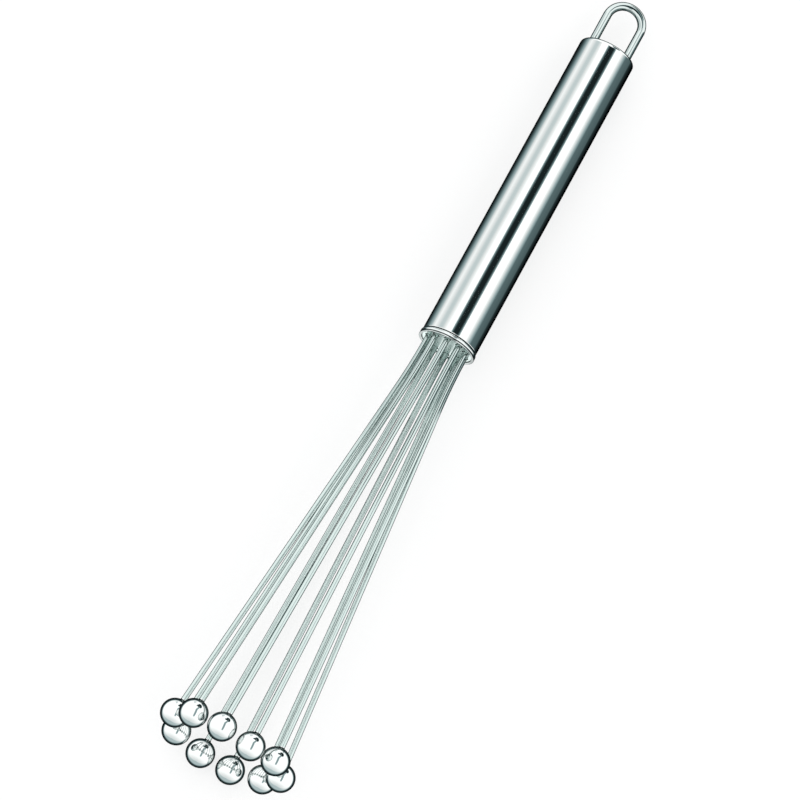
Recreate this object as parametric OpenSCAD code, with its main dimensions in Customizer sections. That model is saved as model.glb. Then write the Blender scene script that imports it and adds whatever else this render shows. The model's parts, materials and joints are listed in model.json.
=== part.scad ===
// Ball whisk: a tube handle with ten sprung wires, each ending in a steel ball.
// It lies on its two lowest balls and on the rounded upper edge of the handle.
// The pieces are drawn round the handle's axis, with the balls' centres at z = 0
// and the hanging loop at the top, and lay_down() then puts them on the floor.

/* [Handle tube] */
// Outside diameter of the tube
tube_d = 20; // [16:0.5:24]
// Wall thickness of the tube
tube_wall = 0.8; // [0.6:0.1:1]
// Length of the tube, from the collar to its upper end
tube_len = 119; // [80:1:160]
// Outside radius of the rolled-in upper edge
rim_r = 1.5; // [1.2:0.1:2]

/* [End cap and hanging loop] */
// Thickness of the cap behind the rolled edge
cap_t = 2; // [1.2:0.1:4]
// Radius of the cap's inner edge
cap_edge_r = 0.2; // [0.1:0.05:0.3]
// Diameter of the loop's wire
loop_wire_d = 3; // [2:0.1:3.6]
// Distance between the loop's legs, centre to centre
loop_pitch = 12.7; // [8:0.1:13]
// Straight length of the legs above the tube's end
loop_leg = 11.8; // [4:0.1:30]
// How much wider than the wire the upset head on each leg is, on each side
head_lip = 0.6; // [0.3:0.1:0.7]
// Thickness of the upset heads under the cap
head_t = 1.2; // [0.5:0.1:2]

/* [Ferrule] */
// How far the collar stands out from the tube
collar_proud = 0.35; // [0.1:0.05:1]
// Height of the collar
collar_len = 2; // [1.8:0.1:5]
// Thickness of the collar's wall round the plate
collar_wall = 0.95; // [0.8:0.05:1.2]
// Radius of the collar's lower outside edge
collar_edge_r = 0.6; // [0.3:0.1:0.7]
// Radius of the collar's upper outside edge, which makes the groove above it
groove_r = 0.3; // [0.1:0.1:0.4]
// Wall thickness of the skirt inside the tube
skirt_wall = 0.6; // [0.5:0.1:1]
// Length of the skirt inside the tube
skirt_len = 8; // [4:0.5:14]
// Depth of the plate below the collar's face
recess = 0.4; // [0.2:0.1:1]
// Thickness of the plate
plate_t = 0.8; // [0.5:0.1:1]
// Length of the cast plug behind the plate
plug_len = 26; // [22:1:50]

/* [Wires and balls] */
// Number of wires
wire_n = 10; // [6:1:12]
// Diameter of a wire
wire_d = 2; // [1.4:0.1:2.4]
// Distance from the collar's face to the balls' centres
wire_reach = 160; // [120:1:220]
// Radius of the gentle bend where a wire leaves the plate
bend_r = 230; // [150:5:300]
// Length of a wire held in the plug
root_len = 20; // [10:1:20]
// Clear distance between the wires and the skirt
root_edge = 0.35; // [0.2:0.05:1]
// How far round the axis the wires' roots lie from their balls
root_turn = 7; // [-12:1:12]
// Diameter of a ball
ball_d = 10; // [8:0.5:14]
// Mean clear distance between two neighbouring balls
ball_gap = 2.4; // [1.6:0.1:5]
// Depth of the bore that takes the wire's end
bore_depth = 4; // [2:0.1:4.5]
// Radius of the weld at the mouth of the bore
weld_r = 1.6; // [1.4:0.1:2.2]
// Height of the weld
weld_h = 0.7; // [0.3:0.1:1.5]

/* [Fits] */
// Clearance between pieces that are pressed or cast together
seat_gap = 0.05; // [0.02:0.01:0.1]
// Clearance of the wires in the plate's holes
hole_gap = 0.3; // [0.1:0.05:0.5]
// Clearance of the loop's legs in the cap's holes
leg_gap = 0.1; // [0.05:0.05:0.2]

/* [Hidden] */
$fn = 96;

// As-made spread: how far each ball lies sideways from its even place, and how
// far it reaches past the ball circle's plane. Wires past the lists' end have none.
ball_sway = [-0.5, 0.5, 0.5, -0.5, -0.5, 0.5, 0.5, -0.5, 0, 0.5];
ball_reach = [0.5, 0, -1.5, -1, 0.5, 1.5, -0.5, 0, 0, 0.5];

// Radii round the handle's axis
tube_r = tube_d / 2;
bore_r = tube_r - tube_wall;
collar_r = tube_r + collar_proud;
recess_r = collar_r - collar_wall;
skirt_r = bore_r - seat_gap;
skirt_bore_r = skirt_r - skirt_wall;
wire_r = wire_d / 2;
root_r = skirt_bore_r - root_edge - wire_r;
ball_r = ball_d / 2;
ball_ring_r = (ball_d + ball_gap) / (2 * sin(180 / wire_n));
loop_wire_r = loop_wire_d / 2;
loop_r = loop_pitch / 2;

// Heights along the handle's axis, from the plane of the balls' centres
collar_z = wire_reach;
plate_z = collar_z + recess;
plate_back_z = plate_z + plate_t;
tube_z = collar_z + collar_len;
tube_end_z = tube_z + tube_len;
skirt_end_z = tube_z + skirt_len;
root_end_z = plate_back_z + root_len;
cap_top_z = tube_end_z - tube_wall - seat_gap;
cap_z = cap_top_z - cap_t;
loop_arc_z = tube_end_z + loop_leg;

// Extra length that lets a cut pass through both faces
through = 1;

// A bend is this much thicker than its wire, on each side, and the straight parts
// run this far into its ends, so that the three make one solid
bend_swell = 0.02;
bend_lap = 0.2;

// Where wire k's root and ball are, and the plane it bends in
function spread(list, k) = k <= len(list) ? list[k - 1] : 0;
function wire_angle(k) = (k - 0.5) * 360 / wire_n;
function root_at(k) = root_r * [cos(wire_angle(k) + root_turn), sin(wire_angle(k) + root_turn)];
function ball_at(k) = [
    ball_ring_r * cos(wire_angle(k)),
    ball_ring_r * sin(wire_angle(k)) + spread(ball_sway, k)
];
function ball_drop(k) = plate_z + spread(ball_reach, k);
function bend_plane(k) = let (out = ball_at(k) - root_at(k)) atan2(out.y, out.x);

// A wire leaves the plate square to it, turns through a bend of radius bend_r,
// and runs straight to the ball along the bend's tangent
function bend_to_ball(k) = norm([ball_drop(k), bend_r - norm(ball_at(k) - root_at(k))]);
function splay(k) =
    atan2(ball_drop(k), bend_r - norm(ball_at(k) - root_at(k))) - acos(bend_r / bend_to_ball(k));
function straight_len(k) = sqrt(pow(bend_to_ball(k), 2) - pow(bend_r, 2));

// The lie on the floor: the plane that touches the two lowest balls and the rim
floor_ball_x = ball_ring_r * cos(180 / wire_n);
floor_ball_z = -spread(ball_reach, 1);
lie_along = tube_end_z - rim_r - floor_ball_z;
lie_across = floor_ball_x - (tube_r - rim_r);
lie_tilt = atan2(lie_across, lie_along) + asin((ball_r - rim_r) / norm([lie_along, lie_across]));
axis_height = ball_r + floor_ball_z * sin(lie_tilt) + floor_ball_x * cos(lie_tilt);
low_end_x = floor_ball_z * cos(lie_tilt) - floor_ball_x * sin(lie_tilt) - ball_r;
high_end_x = (loop_arc_z + loop_r) * cos(lie_tilt) + loop_wire_r;

function numbered(name, k) = str(name, "_", k < 10 ? "0" : "", k);

// Turns the handle's axis to +X, with the ball end raised, and centres the whisk
module lay_down() {
    translate([-(low_end_x + high_end_x) / 2, 0, axis_height])
        rotate([0, 90 + lie_tilt, 0])
            children();
}

// Section of a ring from radius r_in to r_out, with its outer edges rounded
module ring_section(r_in, r_out, height, low_edge, high_edge) {
    translate([r_in, low_edge])
        square([r_out - r_in, height - low_edge - high_edge]);
    square_to_edge(r_in, r_out - low_edge, 0, low_edge);
    square_to_edge(r_in, r_out - high_edge, height - high_edge, high_edge);
    translate([r_out - low_edge, low_edge])
        circle(low_edge);
    translate([r_out - high_edge, height - high_edge])
        circle(high_edge);
}

module square_to_edge(r_in, r_out, z, height) {
    translate([r_in, z])
        square([r_out - r_in, height]);
}

// Straight tube, closed in over a quarter round at its upper end
module handle_tube() {
    color("gainsboro")
        lay_down()
            translate([0, 0, tube_z])
                rotate_extrude() {
                    translate([bore_r, 0])
                        square([tube_wall, tube_len - rim_r]);
                    translate([tube_r - rim_r, tube_len - rim_r])
                        intersection() {
                            difference() {
                                circle(rim_r);
                                circle(rim_r - tube_wall);
                            }
                            square(rim_r);
                        }
                }
}

// Disc that fits up behind the rolled edge, with a hole for each leg of the loop
module end_cap() {
    color("silver")
        lay_down()
            translate([0, 0, cap_z])
                difference() {
                    rotate_extrude()
                        ring_section(0, bore_r - seat_gap, cap_t, cap_edge_r, rim_r - tube_wall);
                    loop_legs(-through, cap_t + through, loop_wire_r + leg_gap);
                }
}

// Bend of round wire about z, from the x axis through an angle
module bend(radius, section_r, angle) {
    rotate_extrude(angle = angle)
        translate([radius, 0])
            circle(section_r + bend_swell);
}

// The two legs' cylinders, from height z0 to z1
module loop_legs(z0, z1, radius) {
    for (side = [-1, 1])
        translate([0, side * loop_r, z0])
            cylinder(h = z1 - z0, r = radius);
}

// Bent wire with upset heads that hold it under the cap
module hanging_loop() {
    color("lightgray")
        lay_down() {
            loop_legs(cap_z - head_t, loop_arc_z + bend_lap, loop_wire_r);
            loop_legs(cap_z - head_t, cap_z, loop_wire_r + head_lip);
            translate([0, 0, loop_arc_z])
                rotate([90, 0, 90])
                    bend(loop_r, loop_wire_r, 180);
        }
}

// Collar below the tube's end, with a shoulder for the plate and a skirt in the tube
module ferrule_ring() {
    color("whitesmoke")
        lay_down()
            translate([0, 0, collar_z])
                rotate_extrude()
                    difference() {
                        union() {
                            ring_section(skirt_bore_r, collar_r, collar_len, collar_edge_r, groove_r);
                            translate([skirt_bore_r, 0])
                                square([skirt_wall, collar_len + skirt_len]);
                        }
                        translate([0, -through])
                            square([recess_r, through + recess + plate_t]);
                    }
}

// Disc on the ferrule's shoulder, with a hole round each wire
module wire_plate() {
    color("white")
        lay_down()
            translate([0, 0, plate_z])
                difference() {
                    cylinder(h = plate_t, r = recess_r - seat_gap);
                    wire_holes(-through, plate_t + through, wire_r + hole_gap);
                }
}

// A straight hole for each wire, from height z0 to z1
module wire_holes(z0, z1, radius) {
    for (k = [1:wire_n])
        translate([root_at(k).x, root_at(k).y, z0])
            cylinder(h = z1 - z0, r = radius);
}

// Cast plug that fills the skirt and the tube behind it, round the wires' roots
module potting_plug() {
    neck_len = skirt_end_z + seat_gap - plate_back_z;
    color("peru")
        lay_down()
            translate([0, 0, plate_back_z])
                difference() {
                    union() {
                        cylinder(h = neck_len, r = skirt_bore_r - seat_gap);
                        translate([0, 0, neck_len])
                            cylinder(h = plug_len - neck_len, r = bore_r - seat_gap);
                    }
                    wire_holes(-through, root_len + seat_gap, wire_r + seat_gap);
                }
}

// Moves to wire k's exit from the plate, with x along the plane it bends in
module at_root(k) {
    translate([root_at(k).x, root_at(k).y, plate_z])
        rotate([0, 0, bend_plane(k)])
            children();
}

// Wire k: straight root, bend, and straight run into its ball's bore
module wire(k) {
    bend_end = bend_r * [1 - cos(splay(k)), -sin(splay(k))];
    color("gainsboro")
        lay_down()
            at_root(k) {
                translate([0, 0, -bend_lap])
                    cylinder(h = bend_lap + root_end_z - plate_z, r = wire_r);
                translate([bend_r, 0, 0])
                    rotate([90, 180, 0])
                        bend(bend_r, wire_r, splay(k));
                translate([bend_end.x, 0, bend_end.y])
                    rotate([0, 180 - splay(k), 0])
                        translate([0, 0, -bend_lap])
                            cylinder(h = bend_lap + straight_len(k) - ball_r + bore_depth, r = wire_r);
            }
}

// Ball k, bored for the wire's end, with the weld round the bore's mouth
module ball(k) {
    color("silver")
        lay_down()
            at_root(k)
                translate([norm(ball_at(k) - root_at(k)), 0, -ball_drop(k)])
                    rotate([0, -splay(k), 0])
                        difference() {
                            union() {
                                sphere(ball_r);
                                translate([0, 0, ball_r - weld_h])
                                    cylinder(h = 2 * weld_h, r1 = weld_r, r2 = wire_r + 2 * seat_gap);
                            }
                            translate([0, 0, ball_r - bore_depth - seat_gap])
                                cylinder(h = bore_depth + 2 * weld_h, r = wire_r + seat_gap);
                        }
}

handle_tube();
end_cap();
hanging_loop();
ferrule_ring();
wire_plate();
potting_plug();
for (k = [1:wire_n]) {
    wire(k);
    ball(k);
}
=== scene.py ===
"""A ball whisk in stainless steel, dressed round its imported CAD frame.

Lengths are metres in the whisk's own frame: +X runs along it towards the hanging
loop, and +Z is up from the surface that it lies on. The pieces are worked out in the
handle's frame, in which z runs along the handle's axis towards the loop, x points
down and y goes across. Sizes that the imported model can't be asked for are fields of
the sub-assembly that they belong to.
"""

import json
import logging
import math
from collections.abc import Callable
from dataclasses import dataclass
from enum import Enum
from typing import Any

import bmesh
import bpy
import numpy as np
from mathutils import Matrix, Vector


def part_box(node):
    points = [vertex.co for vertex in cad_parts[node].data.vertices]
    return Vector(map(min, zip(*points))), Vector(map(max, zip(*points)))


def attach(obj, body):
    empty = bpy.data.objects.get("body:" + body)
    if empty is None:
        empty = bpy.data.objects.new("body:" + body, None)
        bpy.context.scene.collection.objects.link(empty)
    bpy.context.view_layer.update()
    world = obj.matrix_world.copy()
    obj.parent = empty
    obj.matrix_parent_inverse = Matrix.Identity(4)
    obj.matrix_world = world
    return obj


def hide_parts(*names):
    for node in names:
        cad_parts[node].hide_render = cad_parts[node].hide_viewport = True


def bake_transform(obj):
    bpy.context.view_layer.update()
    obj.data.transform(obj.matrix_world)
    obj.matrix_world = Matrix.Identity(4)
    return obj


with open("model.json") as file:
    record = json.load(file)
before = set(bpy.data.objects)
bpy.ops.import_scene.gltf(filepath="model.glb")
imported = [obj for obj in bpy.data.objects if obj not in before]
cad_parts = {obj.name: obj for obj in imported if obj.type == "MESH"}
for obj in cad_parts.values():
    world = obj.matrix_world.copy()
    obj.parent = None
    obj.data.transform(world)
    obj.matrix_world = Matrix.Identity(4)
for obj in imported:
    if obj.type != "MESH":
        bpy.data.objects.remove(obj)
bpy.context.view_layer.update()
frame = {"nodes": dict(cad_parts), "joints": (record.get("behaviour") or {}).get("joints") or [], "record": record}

LOG = logging.getLogger("whisk")
MM = 0.001
GRAIN = "grain"  # a point's place in its piece's own straightened frame, in metres

Placing = Callable[[np.ndarray], np.ndarray]  # takes points from a piece's frame to the model's


# ---------------------------------------------------------------- places and colours


@dataclass(frozen=True)
class WhiskAxes:
    """The handle's frame, with its origin on the axis at the balls' end of the whisk.

    Attributes:
        origin: a point on the axis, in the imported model's frame.
        down, across, along: unit vectors of the handle's x, y and z.
    """

    origin: np.ndarray
    down: np.ndarray
    across: np.ndarray
    along: np.ndarray

    @classmethod
    def from_grip(cls, mounts: list[dict[str, Any]]) -> "WhiskAxes":
        """Reads the axis from the grip mount, and slides its origin to x = 0.

        Args:
            mounts: the record's mounts.

        Returns:
            The handle's frame.
        """
        grip = next(m for m in mounts if m["name"] == "grip")
        along = np.array(grip["axis"], float)
        along /= np.linalg.norm(along)
        across = np.array([0.0, 1.0, 0.0])
        place = np.array(grip["pos_m"], float)
        return cls(place - along * place[0] / along[0], np.cross(across, along), across, along)

    def place(self, points: np.ndarray) -> np.ndarray:
        """Takes (..., 3) points from the handle's frame to the model's."""
        return self.origin + points @ np.stack([self.down, self.across, self.along])

    def local(self, points: np.ndarray) -> np.ndarray:
        """Takes (..., 3) points from the model's frame to the handle's."""
        return (points - self.origin) @ np.stack([self.down, self.across, self.along]).T

    def span(self, node: str) -> tuple[float, float, float]:
        """Measures a CAD node round the handle's axis.

        Args:
            node: the node's name.

        Returns:
            Its lowest z, its highest z and its largest radius.
        """
        mesh = frame["nodes"][node].data
        points = np.zeros(len(mesh.vertices) * 3, np.float32)
        mesh.vertices.foreach_get("co", points)
        x, y, z = self.local(points.reshape(-1, 3).astype(float)).T
        return float(z.min()), float(z.max()), float(np.hypot(x, y).max())


def linear(colour: str) -> tuple[float, float, float]:
    """Turns an sRGB hex colour such as '#DFE7E6' to linear red, green and blue."""
    srgb = np.array([int(colour[i:i + 2], 16) for i in (1, 3, 5)]) / 255
    parts = np.where(srgb <= 0.04045, srgb / 12.92, ((srgb + 0.055) / 1.055) ** 2.4)
    return tuple(float(part) for part in parts)


def unit(vectors: np.ndarray) -> np.ndarray:
    """Scales (..., n) vectors to length 1."""
    return vectors / np.linalg.norm(vectors, axis=-1, keepdims=True)


def soft_step(values: np.ndarray, start: float, end: float) -> np.ndarray:
    """Rises from 0 at start to 1 at end as 3 t squared less 2 t cubed."""
    t = np.clip((values - start) / (end - start), 0, 1)
    return t * t * (3 - 2 * t)


# ---------------------------------------------------------------- surfaces


@dataclass
class Sheet:
    """A grid of points that becomes one sheet of quads.

    Attributes:
        points: (rows, columns, 3) points.
        grain: the same points in the piece's straightened frame, for its pattern.
        ring: whether the last column joins the first.
    """

    points: np.ndarray
    grain: np.ndarray
    ring: bool = True

    def quads(self, first: int) -> np.ndarray:
        """Gives each quad's four corners as point numbers.

        Args:
            first: the number of the sheet's first point in its mesh.

        Returns:
            (quads, 4) numbers. Quad (i, j) joins points (i, j), (i, j + 1),
            (i + 1, j + 1) and (i + 1, j), with j + 1 taken round on a ring.
        """
        rows, columns = self.points.shape[:2]
        i, j = np.meshgrid(
            np.arange(rows - 1), np.arange(columns if self.ring else columns - 1), indexing="ij"
        )
        k = (j + 1) % columns
        corners = [i * columns + j, i * columns + k, (i + 1) * columns + k, (i + 1) * columns + j]
        return first + np.stack(corners, axis=-1).reshape(-1, 4)


def make_piece(name: str, sheets: list[Sheet], sharp_deg: float = 40) -> bpy.types.Object:
    """Joins sheets into one closed piece with its faces outwards.

    Points that lie together are merged, which closes seams and poles, and the normals
    are recalculated after that.

    Args:
        name: the piece's name.
        sheets: its surface, in the model's frame.
        sharp_deg: edges that turn more than this are shaded sharp.

    Returns:
        The piece's object, at the origin.
    """
    firsts = np.cumsum([0] + [sheet.points[..., 0].size for sheet in sheets[:-1]])
    points = np.concatenate([sheet.points.reshape(-1, 3) for sheet in sheets])
    grain = np.concatenate([sheet.grain.reshape(-1, 3) for sheet in sheets])
    quads = np.concatenate([s.quads(int(first)) for s, first in zip(sheets, firsts)])
    mesh = bpy.data.meshes.new(name)
    mesh.from_pydata(points, [], quads.tolist(), shade_flat=False)
    attribute = mesh.attributes.new(GRAIN, "FLOAT_VECTOR", "POINT")
    attribute.data.foreach_set("vector", grain.astype(np.float32).ravel())
    shell = bmesh.new()
    shell.from_mesh(mesh)
    bmesh.ops.remove_doubles(shell, verts=shell.verts, dist=0.0002 * MM)
    bmesh.ops.recalc_face_normals(shell, faces=shell.faces)
    shell.to_mesh(mesh)
    shell.free()
    mesh.set_sharp_from_angle(angle=math.radians(sharp_deg))
    piece = bpy.data.objects.new(name, mesh)
    bpy.context.scene.collection.objects.link(piece)
    return piece


def rounded(corners: list[tuple[float, float, float]], steps: int = 6) -> np.ndarray:
    """Rounds the corners of an open outline.

    At a corner, with unit vectors a and b towards its neighbours and half the angle
    between them h, the round of radius q starts q / tan h from the corner, and its
    centre lies q / sin h from it along a + b. A point is added just outside each end of
    a round, which keeps the flats beside it flat to the eye.

    Args:
        corners: (radius from the axis, height, radius of the round) for each corner. The
            first and the last aren't rounded.
        steps: points on each round.

    Returns:
        (points, 2) radii and heights.
    """
    data = np.array(corners, float)
    spot, round_r = data[1:-1, :2], data[1:-1, 2:]
    back, ahead = unit(data[:-2, :2] - spot), unit(data[2:, :2] - spot)
    half = np.arccos(np.clip((back * ahead).sum(-1, keepdims=True), -1, 1)) / 2
    cut = round_r / np.tan(half)
    hold = np.minimum(0.03 * MM, round_r)
    middle = unit(back + ahead)
    centre = spot + middle * round_r / np.sin(half)
    turn = (math.pi / 2 - half) * np.linspace(-1, 1, steps)
    arc = (
        centre[:, None]
        - middle[:, None] * (round_r * np.cos(turn))[..., None]
        + unit(ahead - back)[:, None] * (round_r * np.sin(turn))[..., None]
    )
    before, after = spot + back * (cut + hold), spot + ahead * (cut + hold)
    rounds = np.concatenate([before[:, None], arc, after[:, None]], axis=1)
    return np.concatenate([data[:1, :2], rounds.reshape(-1, 2), data[-1:, :2]])


def revolved(outline: np.ndarray, columns: int, place: Placing, start: float = 0) -> Sheet:
    """Turns an outline round the z axis.

    The point at radius r and height z goes to (r cos t, r sin t, z), for t from the start
    once round.

    Args:
        outline: (points, 2) radii and heights.
        columns: how many points go round.
        place: takes the piece's own frame to the model's.
        start: the first point's angle.

    Returns:
        The surface as a sheet that joins on itself.
    """
    t = start + np.linspace(0, 2 * math.pi, columns, endpoint=False)
    radius, height = outline[:, :1], outline[:, 1:]
    own = np.stack([radius * np.cos(t), radius * np.sin(t), height + 0 * t], axis=-1)
    return Sheet(place(own), own)


def swept(
    path: np.ndarray, heading: np.ndarray, level: np.ndarray, radii: np.ndarray,
    lengths: np.ndarray, columns: int,
) -> Sheet:
    """Carries a circle along a flat path.

    With the path's heading h and the unit vector n = level x h, the point at angle t is
    p + r (cos t n + sin t level). Its grain is (r cos t, r sin t, length along the path),
    which is the wire pulled straight.

    Args:
        path: (points, 3) centres.
        heading: (points, 3) unit vectors along the path.
        level: the unit vector square to the path's plane.
        radii: the circle's radius at each point, and 0 where the end is closed.
        lengths: the length along the path at each point.
        columns: how many points go round.

    Returns:
        The surface as a sheet that joins on itself.
    """
    t = np.linspace(0, 2 * math.pi, columns, endpoint=False)
    beside = np.cross(level, heading)[:, None]
    out = radii[:, None] * np.cos(t), radii[:, None] * np.sin(t)
    points = path[:, None] + out[0][..., None] * beside + out[1][..., None] * level
    return Sheet(points, np.stack([*out, lengths[:, None] + 0 * t], axis=-1))


@dataclass(frozen=True)
class DrilledDisc:
    """A disc with a ring of equal holes, their edges a little rounded.

    Attributes:
        radius, low, high: the disc's radius and its two faces' heights.
        holes, ring_r, hole_r: how many holes, the radius that they lie on and theirs.
        first_deg: the angle of the first hole.
        low_edge, high_edge: radii of the outer edges' rounds.
        hole_edge: radius of the holes' edges.
    """

    radius: float
    low: float
    high: float
    holes: int
    ring_r: float
    hole_r: float
    first_deg: float
    low_edge: float
    high_edge: float
    hole_edge: float = 0.12 * MM
    arc_points: int = 15
    side_points: int = 12

    def sector(self, rim: float) -> np.ndarray:
        """Goes round one hole's share of the disc: its arc, then both straight sides.

        Args:
            rim: radius of the arc.

        Returns:
            (points, 2) places, with the hole's middle on the x axis.
        """
        half = math.pi / self.holes
        t = np.linspace(-half, half, self.arc_points)
        arc = rim * np.stack([np.cos(t), np.sin(t)], axis=-1)
        inward = np.linspace(rim, 0, self.side_points)[1:, None]
        return np.concatenate([arc, inward * arc[-1] / rim, inward[-2::-1] * arc[0] / rim])

    def face(self, rim: float) -> np.ndarray:
        """Runs from one hole's share of the outline in to the hole and down its wall.

        A point of the outline at direction d from the hole's middle m is joined to
        m + r d for each radius r of the hole's rounded edge.

        Args:
            rim: radius of the flat face.

        Returns:
            (rows, points, 3) places, with the depth below the face as z.
        """
        outline = self.sector(rim)
        middle = np.array([self.ring_r, 0.0])
        toward = unit(outline - middle)
        t = np.linspace(0, math.pi / 2, 5)[:, None]
        radii = self.hole_r + self.hole_edge * (1 - np.sin(t))
        depths = self.hole_edge * (1 - np.cos(t))
        radii = np.concatenate([[[self.hole_r + self.hole_edge + 0.03 * MM]], radii, [[self.hole_r]]])
        depths = np.concatenate([[[0.0]], depths, [[(self.high - self.low) / 2]]])
        rings = middle + radii[..., None] * toward
        flat = np.concatenate([outline[None], rings])
        depth = np.concatenate([[[0.0]], depths]) + 0 * flat[..., 0]
        return np.concatenate([flat, depth[..., None]], axis=-1)

    def sheets(self, place: Placing) -> list[Sheet]:
        """Lays the faces of all shares round the disc and closes them with its rim.

        Args:
            place: takes the handle's frame to the model's.

        Returns:
            The disc's surface.
        """
        made = []
        for number in range(self.holes):
            turn = math.radians(self.first_deg) + number * 2 * math.pi / self.holes
            spin = np.array([[math.cos(turn), math.sin(turn)], [-math.sin(turn), math.cos(turn)]])
            for height, side, edge in ((self.low, 1, self.low_edge), (self.high, -1, self.high_edge)):
                own = self.face(self.radius - edge)
                own[..., :2] = own[..., :2] @ spin
                own[..., 2] = height + side * own[..., 2]
                made.append(Sheet(place(own), own))
        rim = rounded([
            (self.radius - self.low_edge, self.low, 0),
            (self.radius, self.low, self.low_edge),
            (self.radius, self.high, self.high_edge),
            (self.radius - self.high_edge, self.high, 0),
        ])
        start = math.radians(self.first_deg) - math.pi / self.holes
        made.append(revolved(rim, self.holes * (self.arc_points - 1), place, start))
        return made


# ---------------------------------------------------------------- finishes


def add_node(tree: bpy.types.NodeTree, kind: str, inputs: dict[Any, Any], **settings: Any) -> Any:
    """Adds a node, with its settings, its inputs' values and its links.

    Args:
        tree: the material's or the world's node tree.
        kind: the node's type.
        inputs: for each input, by name or number, a value or the output to link from.
        settings: the node's own properties.

    Returns:
        The node.
    """
    node = tree.nodes.new(kind)
    for key, value in settings.items():
        setattr(node, key, value)
    for key, value in inputs.items():
        if isinstance(value, bpy.types.NodeSocket):
            tree.links.new(value, node.inputs[key])
        else:
            node.inputs[key].default_value = value
    return node


def new_tree(name: str) -> tuple[bpy.types.Material, bpy.types.NodeTree]:
    """Makes an empty node material."""
    material = bpy.data.materials.new(name)
    material.use_nodes = True
    material.node_tree.nodes.clear()
    return material, material.node_tree


class Strokes(Enum):
    """Which way a finish's fine lines run, as their pitch ratios over x, y and z."""

    ROUND = (0.02, 0.02, 1.0)
    LENGTHWISE = (1.0, 1.0, 0.01)
    ALL_WAYS = (1.0, 1.0, 1.0)
    SHEET = (0.03, 1.0, 1.0)


@dataclass(frozen=True)
class Steel:
    """Stainless steel, 18/10: one alloy, finished as its maker left each piece.

    A noise drawn out along the strokes stands for the lines that polishing or drawing
    leaves. It shifts the roughness and lifts the surface a little, and a slow noise
    stands for handling and uneven buffing. The dark edge tint is a painted reflection: it
    darkens the outline where it turns away, in place of a black-lined studio's reflection.

    Attributes:
        name: the material's name.
        colour, worn_colour: colours of the clean metal and of its duller patches.
        painted_edge_reflection: painted dark reflection, a near-black tint of what it reflects at a grazing angle,
            which darkens the outline where it turns away.
        roughness: roughness of the clean metal and of its duller patches.
        strokes: which way the lines run.
        line_pitch: width of the lines as drawn. Real ones are 0.01 to 0.05 mm wide, too
            fine to show, so they are drawn this coarse.
        line_depth: how far the lines lift the surface.
        patch_pitch: size of the duller patches.
        painted_recess_shade: (radius, height): painted shade, a dark grey laid inside this radius and
            above this height of the grain, on the recesses where shade falls.
    """

    name: str
    colour: str
    worn_colour: str
    painted_edge_reflection: str
    roughness: tuple[float, float]
    strokes: Strokes
    line_pitch: float
    line_depth: float
    patch_pitch: float
    painted_recess_shade: tuple[float, float] | None = None

    def build(self) -> bpy.types.Material:
        """Makes the material.

        Returns:
            A node material that reads the piece's grain.
        """
        material, tree = new_tree(self.name)
        grain = add_node(tree, "ShaderNodeAttribute", {}, attribute_name=GRAIN).outputs["Vector"]
        pitch = [ratio / self.line_pitch for ratio in self.strokes.value]
        drawn = add_node(tree, "ShaderNodeMapping", {"Vector": grain, "Scale": pitch})
        lines = add_node(
            tree, "ShaderNodeTexNoise",
            {"Vector": drawn.outputs[0], "Scale": 1.0, "Detail": 3.0, "Roughness": 0.6},
        ).outputs["Fac"]
        patches = add_node(
            tree, "ShaderNodeTexNoise",
            {"Vector": grain, "Scale": 1 / self.patch_pitch, "Detail": 2.0, "Distortion": 0.4},
        ).outputs["Fac"]
        both = add_node(
            tree, "ShaderNodeMath", {0: lines, 1: patches}, operation="MULTIPLY"
        ).outputs[0]
        rough = add_node(tree, "ShaderNodeMapRange", {
            "Value": both, "From Min": 0.1, "From Max": 0.45,
            "To Min": self.roughness[0], "To Max": self.roughness[1],
        }).outputs[0]
        colour = add_node(tree, "ShaderNodeMix", {
            "Factor": both, 6: (*linear(self.colour), 1), 7: (*linear(self.worn_colour), 1),
        }, data_type="RGBA").outputs[2]
        # Painted shade: a dark grey laid on the piece's recesses, inside a radius and above a height of its grain,
        # where shade falls.
        if self.painted_recess_shade:
            parts = add_node(tree, "ShaderNodeSeparateXYZ", {0: grain}).outputs
            flat = add_node(tree, "ShaderNodeCombineXYZ", {0: parts[0], 1: parts[1]}).outputs[0]
            radius = add_node(
                tree, "ShaderNodeVectorMath", {0: flat}, operation="LENGTH"
            ).outputs["Value"]
            inside = add_node(tree, "ShaderNodeMapRange", {
                "Value": radius, "From Min": self.painted_recess_shade[0], "From Max": self.painted_recess_shade[0] - 0.1 * MM,
            }).outputs[0]
            above = add_node(
                tree, "ShaderNodeMath", {0: parts[2], 1: self.painted_recess_shade[1]}, operation="GREATER_THAN"
            ).outputs[0]
            left = add_node(tree, "ShaderNodeMath", {0: inside, 1: above}, operation="MULTIPLY")
            colour = add_node(tree, "ShaderNodeMix", {
                "Factor": left.outputs[0], 6: colour, 7: (*linear("#3A4040"), 1),
            }, data_type="RGBA").outputs[2]
        bump = add_node(tree, "ShaderNodeBump", {
            "Height": lines, "Strength": 1.0, "Distance": self.line_depth,
        }).outputs[0]
        # The specular tint is painted reflection: it darkens the outline where the surface turns away.
        shader = add_node(tree, "ShaderNodeBsdfPrincipled", {
            "Base Color": colour, "Metallic": 1.0, "Roughness": rough, "Normal": bump,
            "Specular Tint": (*linear(self.painted_edge_reflection), 1),
        }).outputs[0]
        add_node(tree, "ShaderNodeOutputMaterial", {"Surface": shader})
        return material


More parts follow.
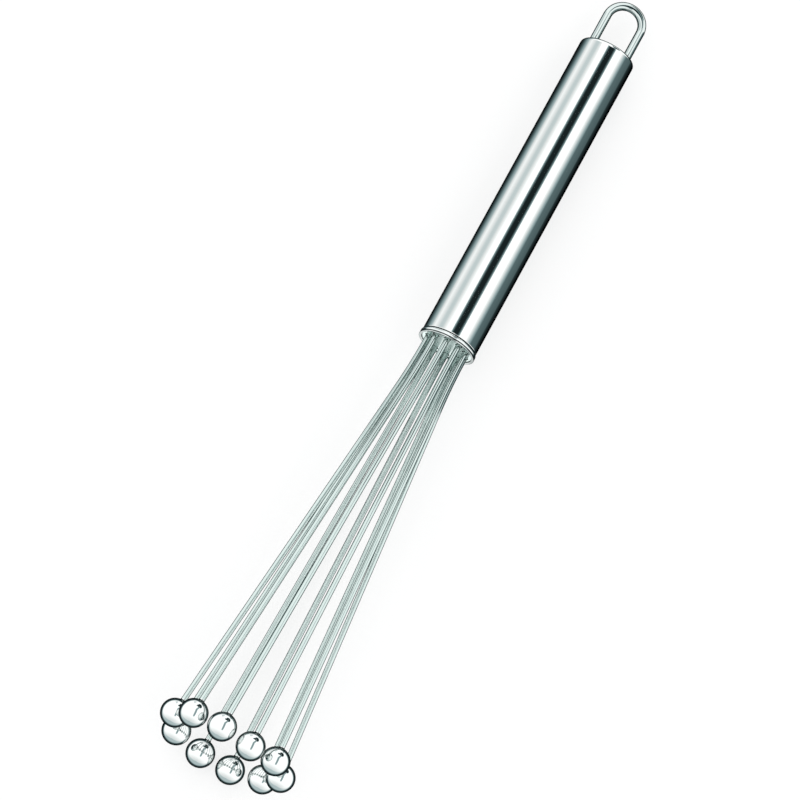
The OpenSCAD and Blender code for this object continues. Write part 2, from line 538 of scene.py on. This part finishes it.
@dataclass(frozen=True)
class CastResin:
    """Filled epoxy, poured round the wires' roots: dark, dull and faintly mottled.

    Attributes:
        name: the material's name.
        colour, mottle: colours of the resin and of its filler. The resin's dark colour is partly painted shade,
            for the deep gaps round the wires' roots.
        grit: size of the filler's clumps.
        bubble: spacing of the small bubbles in its face.
    """

    name: str = "cast epoxy resin"
    # Dark: partly the resin's own colour, partly painted shade for the gaps round the wires' roots.
    colour: str = "#2B2723"
    mottle: str = "#3A332C"
    grit: float = 0.6 * MM
    bubble: float = 1.1 * MM

    def build(self) -> bpy.types.Material:
        """Makes the material.

        Returns:
            A node material that reads Object coordinates.
        """
        material, tree = new_tree(self.name)
        spot = add_node(tree, "ShaderNodeTexCoord", {}).outputs["Object"]
        grit = add_node(
            tree, "ShaderNodeTexNoise", {"Vector": spot, "Scale": 1 / self.grit, "Detail": 4.0}
        ).outputs["Fac"]
        bubbles = add_node(
            tree, "ShaderNodeTexVoronoi", {"Vector": spot, "Scale": 1 / self.bubble}
        ).outputs["Distance"]
        colour = add_node(tree, "ShaderNodeMix", {
            "Factor": grit, 6: (*linear(self.colour), 1), 7: (*linear(self.mottle), 1),
        }, data_type="RGBA").outputs[2]
        rough = add_node(tree, "ShaderNodeMapRange", {
            "Value": grit, "To Min": 0.35, "To Max": 0.6,
        }).outputs[0]
        bump = add_node(tree, "ShaderNodeBump", {
            "Height": bubbles, "Strength": 0.4, "Distance": 0.05 * MM,
        }).outputs[0]
        shader = add_node(tree, "ShaderNodeBsdfPrincipled", {
            "Base Color": colour, "Roughness": rough, "Normal": bump, "IOR": 1.55,
        }).outputs[0]
        add_node(tree, "ShaderNodeOutputMaterial", {"Surface": shader})
        return material


# The third colour of each steel is its edge tint, a painted dark reflection on its outline.
# Tube bright polished on a lathe: mirror clear, with a breath of fine lines round it
POLISHED_TUBE = Steel(
    "mirror polished steel tube", "#E3E7E6", "#D8DDDC", "#101718", (0.03, 0.08),
    Strokes.ROUND, 0.25 * MM, 0.00002 * MM, 14 * MM,
)
# Collar turned and polished with the tube on it: a little softer than the tube, with painted shade in its recesses
POLISHED_COLLAR = Steel(
    "polished steel collar", "#E1E6E5", "#D2D9D8", "#101718", (0.10, 0.18),
    Strokes.ROUND, 0.2 * MM, 0.00004 * MM, 5 * MM, (10.2 * MM, 0.2 * MM),
)
# Balls barrel polished: an even mirror, its faint marks in all directions
POLISHED_BALL = Steel(
    "barrel polished steel ball", "#E7EBEA", "#DBE1E0", "#050708", (0.02, 0.07),
    Strokes.ALL_WAYS, 0.5 * MM, 0.00002 * MM, 3 * MM,
)
# Spring wire drawn through a die: long fine lines and a soft grey shine
SPRING_WIRE = Steel(
    "bright drawn spring wire", "#CAD6D3", "#B0C1BE", "#0A0F0F", (0.06, 0.14),
    Strokes.LENGTHWISE, 0.3 * MM, 0.0001 * MM, 9 * MM,
)
# The loop's thicker wire, drawn and then bright polished when it was bent
LOOP_WIRE = Steel(
    "bright drawn loop wire", "#CFD8D6", "#BBC6C4", "#0E1313", (0.03, 0.07),
    Strokes.LENGTHWISE, 0.35 * MM, 0.0001 * MM, 7 * MM,
)
# Plate stamped from rolled sheet: satin, with the mill's grain one way
STAMPED_PLATE = Steel(
    "stamped steel sheet", "#E6EEEC", "#D5E0DE", "#A2AEAC", (0.22, 0.36),
    Strokes.SHEET, 0.25 * MM, 0.0008 * MM, 4 * MM,
)
# Cap turned from bar: satin rings from the tool
TURNED_CAP = Steel(
    "satin steel cap", "#D6DBDA", "#C5CBCA", "#5A6466", (0.22, 0.4),
    Strokes.ALL_WAYS, 0.3 * MM, 0.0008 * MM, 5 * MM,
)


def hand_over(
    piece: bpy.types.Object, finish: bpy.types.Material, nodes: list[str], body: str | None,
) -> bpy.types.Object:
    """Dresses a piece, puts it in place of its CAD nodes and lets it ride on its body.

    Args:
        piece: the finished piece.
        finish: its material.
        nodes: the CAD nodes that it stands for.
        body: the body that it rides on, or None, which leaves it on no body.

    Returns:
        The piece.
    """
    piece.data.materials.append(finish)
    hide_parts(*nodes)
    if body:
        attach(piece, body)
    LOG.info("%s: %d faces, for %s", piece.name, len(piece.data.polygons), ", ".join(nodes))
    return piece


# ---------------------------------------------------------------- sub-assemblies


@dataclass
class Handle:
    """Tube with its upper edge rolled in, the cap behind that edge and the hanging loop."""

    axes: WhiskAxes
    wall: float = 0.8 * MM
    rim_round: float = 1.35 * MM   # outside of the rolled-in edge
    lip_round: float = 0.15 * MM   # the cut edge of the sheet, stoned smooth
    foot_round: float = 0.3 * MM   # lower edge, which makes the upper half of the seam
    seam: float = 0.2 * MM         # what stays open between tube and collar, seen from outside
    cap_low_edge: float = 0.2 * MM
    cap_high_edge: float = 0.7 * MM
    leg_hole_r: float = 1.6 * MM
    loop_r: float = 6.35 * MM      # from the loop's middle to its wire's centre
    loop_wire_r: float = 1.5 * MM
    head_r: float = 2.1 * MM       # upset heads that hold the loop under the cap
    head_t: float = 1.2 * MM
    columns: int = 192

    def tube(self) -> bpy.types.Object:
        """Turns the tube's wall round the axis: out, up, over the rolled edge and back in."""
        low, high, radius = self.axes.span("handle_tube")
        bore = radius - self.wall
        lip = radius - self.rim_round - self.lip_round
        under = high - self.wall
        inner_round = self.rim_round + self.lip_round - self.wall
        foot = low + self.seam / 2
        outline = rounded([
            (radius - self.wall / 2, foot, 0),
            (radius, foot, self.foot_round),
            (radius, high, self.rim_round),
            (lip, high, self.lip_round),
            (lip, under, 0.1 * MM),
            (bore, under, inner_round - 0.1 * MM),
            (bore, foot, 0.1 * MM),
            (radius - self.wall / 2, foot, 0),
        ], steps=10)
        sheet = revolved(outline, self.columns, self.axes.place)
        return make_piece("polished_handle_tube", [sheet])

    def cap(self) -> bpy.types.Object:
        """Makes the cap as a disc with a hole for each leg of the loop."""
        low, high, radius = self.axes.span("end_cap")
        disc = DrilledDisc(
            radius, low, high, 2, self.loop_r, self.leg_hole_r, 90,
            self.cap_low_edge, self.cap_high_edge, arc_points=49,
        )
        return make_piece("satin_end_cap", disc.sheets(self.axes.place))

    def loop(self) -> bpy.types.Object:
        """Carries the wire up one leg, round half a circle and down the other.

        At length s past the head, the turn is t = (s - leg) / r, held between 0 and pi.
        The path is at (y, z) = (-r cos t, top + r sin t), less what is left of each leg.
        """
        low, high, _ = self.axes.span("hanging_loop")
        top = high - self.loop_r - self.loop_wire_r
        leg = top - low
        bend = math.pi * self.loop_r
        length = 2 * leg + bend
        shank = np.concatenate([
            np.linspace(self.head_t + 0.1 * MM, leg, 10),
            leg + np.linspace(0, bend, 65)[1:-1],
            leg + bend + np.linspace(0, leg - self.head_t - 0.1 * MM, 10),
        ])
        edge = 0.15 * MM
        head = np.array([0, 0, edge, self.head_t - edge, self.head_t, self.head_t])
        head_r = np.array([0, self.head_r - edge, self.head_r, self.head_r,
                           self.head_r - edge, self.loop_wire_r])
        s = np.concatenate([head, shank, length - head[::-1]])
        radii = np.concatenate([head_r, np.full(len(shank), self.loop_wire_r), head_r[::-1]])
        t = np.clip((s - leg) / self.loop_r, 0, math.pi)
        short = np.maximum(leg - s, 0) + np.maximum(s - leg - bend, 0)
        own = np.stack(
            [0 * s, -self.loop_r * np.cos(t), top + self.loop_r * np.sin(t) - short], axis=-1
        )
        heading = np.stack([0 * s, np.sin(t), np.cos(t)], axis=-1)
        axes = np.stack([self.axes.down, self.axes.across, self.axes.along])
        sheet = swept(self.axes.place(own), heading @ axes, self.axes.down, radii, s, 40)
        return make_piece("bent_wire_loop", [sheet])

    def build(self, finishes: dict[Steel, bpy.types.Material]) -> None:
        """Makes the handle's three pieces."""
        hand_over(self.tube(), finishes[POLISHED_TUBE], ["handle_tube"], "handle")
        hand_over(self.cap(), finishes[TURNED_CAP], ["end_cap"], "handle")
        hand_over(self.loop(), finishes[LOOP_WIRE], ["hanging_loop"], "handle")


@dataclass
class Ferrule:
    """Collar below the tube, with its skirt, and the drilled plate in its mouth."""

    axes: WhiskAxes
    collar_len: float = 2.0 * MM
    collar_wall: float = 0.95 * MM   # round the plate
    rim_len: float = 0.3 * MM        # fine rim below the bead
    groove_len: float = 0.35 * MM    # between the rim and the bead
    groove_depth: float = 0.3 * MM
    bead_slope: float = 0.35 * MM    # the bead's shoulders
    bead_round: float = 0.7 * MM
    edge_round: float = 0.1 * MM
    seam: float = 0.2 * MM           # what stays open between tube and collar
    skirt_r: float = 9.15 * MM
    skirt_wall: float = 0.6 * MM
    hole_r: float = 1.3 * MM
    plate_edge: float = 0.1 * MM
    columns: int = 160

    def collar(self) -> bpy.types.Object:
        """Turns the collar's section round the axis: face, rim, bead, skirt and seat."""
        low, high, radius = self.axes.span("ferrule_ring")
        seat = self.axes.span("wire_plate")[1]
        mouth, bore = radius - self.collar_wall, self.skirt_r - self.skirt_wall
        fine = 0.05 * MM
        start = (mouth + radius) / 2
        groove = low + self.rim_len
        bead = groove + self.groove_len
        top = low + self.collar_len - self.seam / 2
        inner = radius - self.groove_depth
        outline = rounded([
            (start, low, 0),
            (radius, low, self.edge_round),
            (radius, groove, self.edge_round),
            (inner, groove, fine),
            (inner, bead, fine),
            (radius, bead + self.bead_slope, self.bead_round),
            (radius, top - self.bead_slope, self.bead_round),
            (radius - self.bead_slope, top, fine),
            (self.skirt_r, top, fine),
            (self.skirt_r, high, fine),
            (bore, high, fine),
            (bore, seat, fine),
            (mouth, seat, fine),
            (mouth, low, self.edge_round),
            (start, low, 0),
        ], steps=8)
        sheet = revolved(outline, self.columns, self.axes.place)
        sheet.grain[..., 2] -= low
        return make_piece("polished_collar", [sheet])

    def plate(self, roots: np.ndarray) -> bpy.types.Object:
        """Makes the plate as a disc with a hole round each wire.

        Args:
            roots: (wires, 3) places of the wires' roots, in the handle's frame.

        Returns:
            The plate.
        """
        low, high, radius = self.axes.span("wire_plate")
        first = math.degrees(math.atan2(roots[0, 1], roots[0, 0]))
        disc = DrilledDisc(
            radius, low, high, len(roots), float(np.hypot(*roots[0, :2])), self.hole_r, first,
            self.plate_edge, self.plate_edge,
        )
        return make_piece("drilled_plate", disc.sheets(self.axes.place))

    def build(self, finishes: dict[Steel, bpy.types.Material], roots: np.ndarray) -> None:
        """Makes the collar and the plate, and dresses the cast plug behind it."""
        hand_over(
            self.collar(), finishes[POLISHED_COLLAR], ["ferrule_ring"], "handle"
        )
        hand_over(
            self.plate(roots), finishes[STAMPED_PLATE], ["wire_plate"], "handle"
        )
        plug = frame["nodes"]["potting_plug"]
        plug.data.materials.clear()
        plug.data.materials.append(CastResin().build())
        LOG.info("potting_plug: the packed solid, in cast resin")


@dataclass
class SprungWire:
    """One wire with its ball, from its root in the plug to its end in the ball's bore."""

    axes: WhiskAxes
    joint: dict[str, Any]
    bend_r: float = 230 * MM      # gentle bend that starts at the plate
    wire_r: float = 1.0 * MM
    end_gap: float = 1.0 * MM     # the wire stops this far short of the ball's centre
    fillet_r: float = 0.7 * MM    # hollow weld between the ball and the wire
    neck_play: float = 0.03 * MM  # the weld's last edge stands this far off the wire
    flex_share: float = 0.85      # the share of the free length over which the bending would show; the point it gives is not used

    @property
    def number(self) -> str:
        """The wire's number as its nodes are named."""
        return self.joint["name"][-2:]

    @property
    def root(self) -> np.ndarray:
        """Where the wire leaves the plate, in the model's frame."""
        return np.array(self.joint["pos_m"], float)

    def ball_size(self) -> tuple[np.ndarray, float]:
        """Measures the ball, whose weld reaches past its box only towards the handle.

        Returns:
            Its centre in the model's frame, and its radius.
        """
        low, high = (np.array(corner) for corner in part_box(f"ball_{self.number}"))
        radius = float(high[1] - low[1]) / 2
        return np.array([low[0] + radius, *((low + high) / 2)[1:]]), radius

    def course(self) -> tuple[np.ndarray, float, float, float]:
        """Works out the wire's bend and straight run.

        With the ball d out from the root and h below the plate, the bend's centre lies
        bend_r out. The run from the end of the bend to the ball is
        sqrt(h squared + (bend_r - d) squared - bend_r squared) long, and the splay is
        atan2(h, bend_r - d) less the angle whose cosine is bend_r over the distance from
        the bend's centre to the ball.

        Returns:
            The unit vector outwards in the bend's plane, the splay in radians, and the
            lengths of the bend and of the run up to the ball's centre.
        """
        out = unit(np.cross(self.axes.along, np.array(self.joint["axis"], float)))
        reach = self.ball_size()[0] - self.root
        d, h = float(reach @ out), -float(reach @ self.axes.along)
        span = math.hypot(h, self.bend_r - d)
        splay = math.atan2(h, self.bend_r - d) - math.acos(self.bend_r / span)
        return out, splay, splay * self.bend_r, math.sqrt(span ** 2 - self.bend_r ** 2)

    def wire(self) -> bpy.types.Object:
        """Carries the wire's circle along its root, bend and run.

        At length s past the plate the turn is t = s / bend_r, held between 0 and the
        splay. The path is bend_r (1 - cos t) + sin t e outwards and
        bend_r sin t + cos t e below the plate, where e is the length past the bend.
        """
        out, splay, bend, run = self.course()
        root_len = self.axes.span(f"wire_{self.number}")[1] - self.axes.local(self.root)[2]
        last = bend + run - self.end_gap
        edge = 0.1 * MM
        s = np.concatenate([
            [-root_len, -root_len, edge - root_len],
            np.linspace(-root_len / 2, 0, 5),
            np.linspace(0, last - edge, 150)[1:],
            [last, last],
        ])
        radii = np.full(len(s), self.wire_r)
        radii[[0, -1]] = 0
        radii[[1, -2]] = self.wire_r - edge
        t = np.clip(s / self.bend_r, 0, splay)
        past = np.maximum(s - bend, 0)
        outward = self.bend_r * (1 - np.cos(t)) + np.sin(t) * past
        down = self.bend_r * np.sin(t) + np.cos(t) * past - np.maximum(-s, 0)
        path = self.root + outward[:, None] * out - down[:, None] * self.axes.along
        heading = np.sin(t)[:, None] * out - np.cos(t)[:, None] * self.axes.along
        level = np.cross(self.axes.along, out)
        return make_piece(f"spring_wire_{self.number}", [swept(path, heading, level, radii, s, 28)])

    def ball(self) -> bpy.types.Object:
        """Turns the ball and its weld round the wire's run.

        The weld is an arc of radius f that touches the ball, of radius r, and the neck, of
        radius n. Its centre lies n + f from the run and sqrt((r + f) squared -
        (n + f) squared) from the ball's centre along it.
        """
        out, splay, _, _ = self.course()
        centre, radius = self.ball_size()
        neck = self.wire_r + self.neck_play
        beside = neck + self.fillet_r
        up = math.sqrt((radius + self.fillet_r) ** 2 - beside ** 2)
        touch = math.atan2(beside, up)
        t = np.linspace(math.pi, touch, 61)
        round_part = radius * np.stack([np.sin(t), np.cos(t)], axis=-1)
        round_part[0, 0] = 0
        t = np.linspace(touch, math.pi / 2, 9)[1:]
        weld = np.stack(
            [beside - self.fillet_r * np.sin(t), up - self.fillet_r * np.cos(t)], axis=-1
        )
        outline = np.concatenate([round_part, weld, [[0, up]]])
        run = unit(math.cos(splay) * self.axes.along - math.sin(splay) * out)
        level = unit(np.cross(self.axes.along, out))
        turn = np.stack([np.cross(level, run), level, run])
        sheet = revolved(outline, 96, lambda own: centre + own @ turn)
        return make_piece(f"polished_ball_{self.number}", [sheet])

    def build(self, finishes: dict[Steel, bpy.types.Material]) -> None:
        """Makes the wire, fixed in place and on no body, and the ball, which rides on the wire's body."""
        body = f"sprung_wire_{self.number}"
        wire = hand_over(
            self.wire(), finishes[SPRING_WIRE], [f"wire_{self.number}"], None
        )
        end = self.root + (self.ball_size()[0] - self.root) * self.flex_share
        tuple(self.root)
        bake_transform(wire)
        hand_over(
            self.ball(), finishes[POLISHED_BALL], [f"ball_{self.number}"], body
        )


# ---------------------------------------------------------------- studio


@dataclass(frozen=True)
class Card:
    """A card by the whisk that only reflections show.

    Attributes:
        name: the card's name.
        section: (aside, height, light) at each of its long folds, in millimetres. The
            height is above the surface that the whisk lies on, and a light of 1 is a white
            wall.
        low, high: heights in the handle's frame between which it reaches.
    """

    name: str
    section: tuple[tuple[float, float, float], ...]
    low: float
    high: float


@dataclass
class Studio:
    """White table in a light tent, with the flags and the camera of a product studio.

    Directions in the tent are given round the handle: the angle a round its axis, from
    the upright, growing towards the camera's right, and the angle e from the plane across
    the axis towards the loop.
    """

    axes: WhiskAxes
    tent_r: float = 10.0
    floor_r: float = 9.8
    lens_mm: float = 500.0
    sensor_mm: float = 36.0
    view_width: float = 0.2681     # what the frame spans at the whisk
    lean_deg: float = 19.0         # how far the handle leans away from the camera
    swing_deg: float = 3.1         # how far the camera is swung round the handle
    roll_deg: float = 28.79        # the handle's slant in the frame
    aim_along: float = 135.8 * MM  # the frame's middle, from the balls' plane
    aim_aside: float = -5.1 * MM
    side_light: float = 1.12       # the tent's walls beside the table
    top_light: float = 1.37        # and above it
    wall_shade: float = 0.5        # how much less the wall beyond the balls gives
    wall_dip_deg: float = 20.0     # its middle, below the handle's axis
    seam_shade: float = 0.75       # the seam's share of the opening's darkness
    opening_at: tuple[float, float] = (28.0, 56.0)   # the opening's middle, as (a, e)
    opening_deg: tuple[float, float] = (15.0, 19.0)  # half its width and height
    opening_shade: float = 0.985
    opening_light: float = 0.004
    well_light: float = 0.05       # below the table, whose reflection is left out
    table_glow: float = 0.72       # the share of plain white in what is seen of the table
    shade_hue: tuple[float, float, float] = (0.60, 1.0, 1.06)  # linear hue of black cloth

    def camera_axes(self) -> tuple[np.ndarray, np.ndarray, np.ndarray]:
        """Works out which way the camera looks from the handle's axis.

        Returns:
            Unit vectors: from the whisk to the camera, aside, and along the handle as the
            camera sees it.
        """
        swing, lean = math.radians(self.swing_deg), math.radians(self.lean_deg)
        upright = -math.cos(swing) * self.axes.down + math.sin(swing) * self.axes.across
        back = math.cos(lean) * upright - math.sin(lean) * self.axes.along
        aside = np.cross(self.axes.along, upright)
        return back, aside, unit(self.axes.along - (self.axes.along @ back) * back)

    def camera(self, ball_plane: float) -> None:
        """Sets up the camera, far off with a long lens.

        Args:
            ball_plane: height of the balls' plane in the handle's frame.
        """
        back, aside, handle_up = self.camera_axes()
        roll = math.radians(self.roll_deg)
        right = math.cos(roll) * aside + math.sin(roll) * handle_up
        up = -math.sin(roll) * aside + math.cos(roll) * handle_up
        aim = self.axes.place(np.array([0, 0, ball_plane + self.aim_along]))
        aim = aim + self.aim_aside * aside
        distance = self.view_width * self.lens_mm / self.sensor_mm
        data = bpy.data.cameras.new("studio camera")
        data.lens, data.sensor_width = self.lens_mm, self.sensor_mm
        data.clip_start, data.clip_end = 0.1, 3 * self.tent_r
        camera = bpy.data.objects.new("studio_camera", data)
        bpy.context.scene.collection.objects.link(camera)
        turn = Matrix(np.stack([right, up, back], axis=-1).tolist()).to_4x4()
        camera.matrix_world = Matrix.Translation(Vector(aim + back * distance)) @ turn
        bpy.context.scene.camera = camera

    def tent_light(self, a: np.ndarray, e: np.ndarray) -> np.ndarray:
        """Gives the tent's light in each direction.

        White walls fill it, brighter above than beside the table, with a light grey wall
        beyond the balls. A thin dark seam runs along the tent's top, over the whisk, up to
        the dark opening that the lamp looks through. It is dark well below the table, all
        round the direction opposite the camera.

        Args:
            a, e: the direction's two angles in degrees.

        Returns:
            The light, where 1 is a white wall.
        """
        a_rad, e_rad = np.radians(a), np.radians(e)
        upward, along = np.cos(a_rad) * np.cos(e_rad), np.sin(e_rad)
        above = 1 - soft_step(np.abs(a), 100, 120)
        light = self.side_light + (self.top_light - self.side_light) * above

        dip = math.radians(self.wall_dip_deg)
        from_wall = np.degrees(np.arccos(-math.sin(dip) * upward - math.cos(dip) * along))
        light = light - self.wall_shade * (1 - soft_step(from_wall, 20, 75))

        middle_a, middle_e = self.opening_at
        course = np.interp(e, [-38, 19, middle_e], [14, 8, middle_a - 1])
        seam = 1 - soft_step(np.abs(a - course), 4, 11)
        seam = seam * soft_step(e, -46, -34) * (1 - soft_step(e, 50, 60))
        wide, high = self.opening_deg
        aside = (a - middle_a) * np.cos(e_rad) / wide
        opening = 1 - soft_step(np.hypot(aside, (e - middle_e) / high), 0.75, 1.05)
        dark = self.opening_shade * np.maximum(self.seam_shade * seam, opening)
        light = light * (1 - dark) + self.opening_light

        lean = math.radians(self.lean_deg)
        from_camera = np.degrees(np.arccos(math.cos(lean) * upward - math.sin(lean) * along))
        return light + (self.well_light - light) * soft_step(from_camera, 103, 121)

    def tent(self) -> None:
        """Makes the tent: a globe whose points glow by their direction.

        A point at (a, e) round the handle lies at cos e cos a upright, cos e sin a aside
        and sin e along the axis.
        """
        _, aside, _ = self.camera_axes()
        upright = np.cross(aside, self.axes.along)
        a, e = np.meshgrid(
            np.linspace(-math.pi, math.pi, 720, endpoint=False),
            np.linspace(-math.pi / 2, math.pi / 2, 181),
        )
        directions = (
            (np.cos(e) * np.cos(a))[..., None] * upright
            + (np.cos(e) * np.sin(a))[..., None] * aside
            + np.sin(e)[..., None] * self.axes.along
        )
        light = self.tent_light(np.degrees(a), np.degrees(e))
        self.lit("light_tent", directions * self.tent_r, light, ring=True)

    def lit(self, name: str, points: np.ndarray, light: np.ndarray, ring: bool) -> bpy.types.Object:
        """Makes a thing of the studio that sends out its own light.

        Args:
            name: its name.
            points: (rows, columns, 3) points.
            light: (rows, columns) light at each point, carried in place of its grain.
            ring: whether the last column joins the first.

        Returns:
            The thing, which the camera doesn't see.
        """
        thing = make_piece(name, [Sheet(points, np.repeat(light[..., None], 3, axis=-1), ring)])
        material, tree = new_tree(f"{name} cloth")
        level = add_node(tree, "ShaderNodeAttribute", {}, attribute_name=GRAIN).outputs["Fac"]
        hue = add_node(tree, "ShaderNodeMix", {
            "Factor": level, 6: (*self.shade_hue, 1), 7: (1, 1, 1, 1),
        }, data_type="RGBA").outputs[2]
        lamp = add_node(tree, "ShaderNodeEmission", {"Color": hue, "Strength": level}).outputs[0]
        add_node(tree, "ShaderNodeOutputMaterial", {"Surface": lamp})
        material.cycles.emission_sampling = "NONE"
        thing.data.materials.append(material)
        thing.visible_camera = False
        return thing

    def on_table(self, aside: np.ndarray, along: np.ndarray, height: np.ndarray) -> np.ndarray:
        """Places points by how far aside of the whisk, how far along it and how high they are.

        Args:
            aside: distances towards the camera's right, level with the table.
            along: heights in the handle's frame of the points of the axis beside them.
            height: heights above the table.

        Returns:
            (..., 3) places, for shapes that go together.
        """
        _, right, _ = self.camera_axes()
        level = np.array([1.0, 1.0, 0.0])
        beside = unit(right * level)
        spot = self.axes.place(along[..., None] * np.array([0, 0, 1.0])) * level
        return spot + aside[..., None] * beside + height[..., None] * np.array([0, 0, 1.0])

    def card(self, card: Card) -> None:
        """Stands a card beside the whisk, hidden from all but reflections."""
        section = np.array(card.section)
        along = np.array([[card.low, card.high]]) + 0 * section[:, :1]
        aside, height, light = (section[:, i:i + 1] + 0 * along for i in range(3))
        points = self.on_table(aside * MM, along, height * MM)
        thing = self.lit(card.name, points, light, ring=False)
        thing.visible_diffuse = thing.visible_shadow = False

    def floor(self) -> None:
        """Lays the white table, a disc of matt board with a faint tooth.

        What the camera sees of it is part lit board and part plain white, as a table that
        is lit from below as well, so the whisk's shadow on it is light.
        """
        t = np.linspace(0, 2 * math.pi, 128, endpoint=False)
        r = np.array([0, 0.5, self.floor_r])[:, None]
        drop = -0.00005 + 0 * t
        points = np.stack([r * np.cos(t), r * np.sin(t), drop + 0 * r], axis=-1)
        floor = make_piece("white_table", [Sheet(points, points)])
        material, tree = new_tree("white board")
        spot = add_node(tree, "ShaderNodeTexCoord", {}).outputs["Object"]
        tooth = add_node(
            tree, "ShaderNodeTexNoise", {"Vector": spot, "Scale": 1 / (0.8 * MM), "Detail": 2.0}
        ).outputs["Fac"]
        bump = add_node(
            tree, "ShaderNodeBump", {"Height": tooth, "Strength": 0.1, "Distance": 0.02 * MM}
        ).outputs[0]
        board = add_node(tree, "ShaderNodeBsdfPrincipled", {
            "Base Color": (*linear("#FAFAFA"), 1), "Roughness": 0.9, "Specular IOR Level": 0.0,
            "Normal": bump,
        }).outputs[0]
        glow = add_node(tree, "ShaderNodeEmission", {"Strength": 1.0}).outputs[0]
        seen = add_node(tree, "ShaderNodeLightPath", {}).outputs["Is Camera Ray"]
        share = add_node(
            tree, "ShaderNodeMath", {0: seen, 1: self.table_glow}, operation="MULTIPLY"
        ).outputs[0]
        both = add_node(tree, "ShaderNodeMixShader", {0: share, 1: board, 2: glow}).outputs[0]
        add_node(tree, "ShaderNodeOutputMaterial", {"Surface": both})
        floor.data.materials.append(material)
        floor.visible_glossy = False

    def world(self) -> None:
        """Makes the space outside the tent plain white, which only the camera sees."""
        world = bpy.data.worlds.new("white surround")
        world.use_nodes = True
        world.node_tree.nodes.clear()
        white = add_node(
            world.node_tree, "ShaderNodeBackground", {"Color": (1, 1, 1, 1), "Strength": 1.0}
        ).outputs[0]
        add_node(world.node_tree, "ShaderNodeOutputWorld", {"Surface": white})
        bpy.context.scene.world = world

    def build(self, ball_plane: float) -> None:
        """Makes the tent, the table, the flags, the world and the camera.

        Args:
            ball_plane: height of the balls' plane in the handle's frame.
        """
        low, high, _ = self.axes.span("handle_tube")
        floor = 0.3  # height in millimetres of what lies on the table
        self.tent()
        self.floor()
        cards = (
            Card("collar_card", (
                (-40, floor, 0.06), (-14, floor, 0.06), (-10, floor, 1.8),
                (10, floor, 1.8), (14, floor, 0.06), (40, floor, 0.06),
            ), low - 24 * MM, low - 1 * MM),
            Card("grey_side_card", (
                (60, 69, 1.37), (60, 32, 0.18), (60, floor, 0.15), (45, floor, 0.05),
                (22, floor, 0.01), (12, floor, 0.01), (6, floor, 0.12),
            ), low, high + 40 * MM),
            Card("left_side_card", (
                (-100, 150, 1.37), (-100, 83, 0.77), (-100, 62, 0.77), (-100, 20, 1.2),
                (-100, floor, 0.9), (-45, floor, 0.44), (-22, floor, 0.08),
                (-16, floor, 0.035), (-11, floor, 0.05), (-6, floor, 0.16),
            ), low, high + 60 * MM),
            Card("black_top_flag", (
                (-66, 250, 0.5), (-40, 250, 0.09), (-22, 250, 0.02), (42, 250, 0.02),
                (58, 250, 0.09), (85, 250, 0.5),
            ), low + 66 * MM, high + 110 * MM),
        )
        for card in cards:
            self.card(card)
        self.world()
        self.camera(ball_plane)
        LOG.info("studio: light tent, white table, %d cards, camera", len(cards))


# ---------------------------------------------------------------- the whole


def main() -> None:
    """Builds the whisk's sub-assemblies in order, then the studio."""
    logging.basicConfig(level=logging.INFO, format="%(name)s: %(message)s")
    scene = bpy.context.scene
    scene.view_settings.view_transform = "Standard"
    axes = WhiskAxes.from_grip(frame["record"]["mounts"])
    steels = (
        POLISHED_TUBE, POLISHED_COLLAR, POLISHED_BALL, SPRING_WIRE, LOOP_WIRE, STAMPED_PLATE,
        TURNED_CAP,
    )
    finishes = {steel: steel.build() for steel in steels}
    wires = [SprungWire(axes, joint) for joint in frame["joints"]]
    Handle(axes).build(finishes)
    Ferrule(axes).build(finishes, axes.local(np.array([wire.root for wire in wires])))
    for wire in wires:
        wire.build(finishes)
    balls = np.array([wire.ball_size()[0] for wire in wires])
    Studio(axes).build(float(axes.local(balls)[:, 2].mean()))


if __name__ == "__main__":
    main()
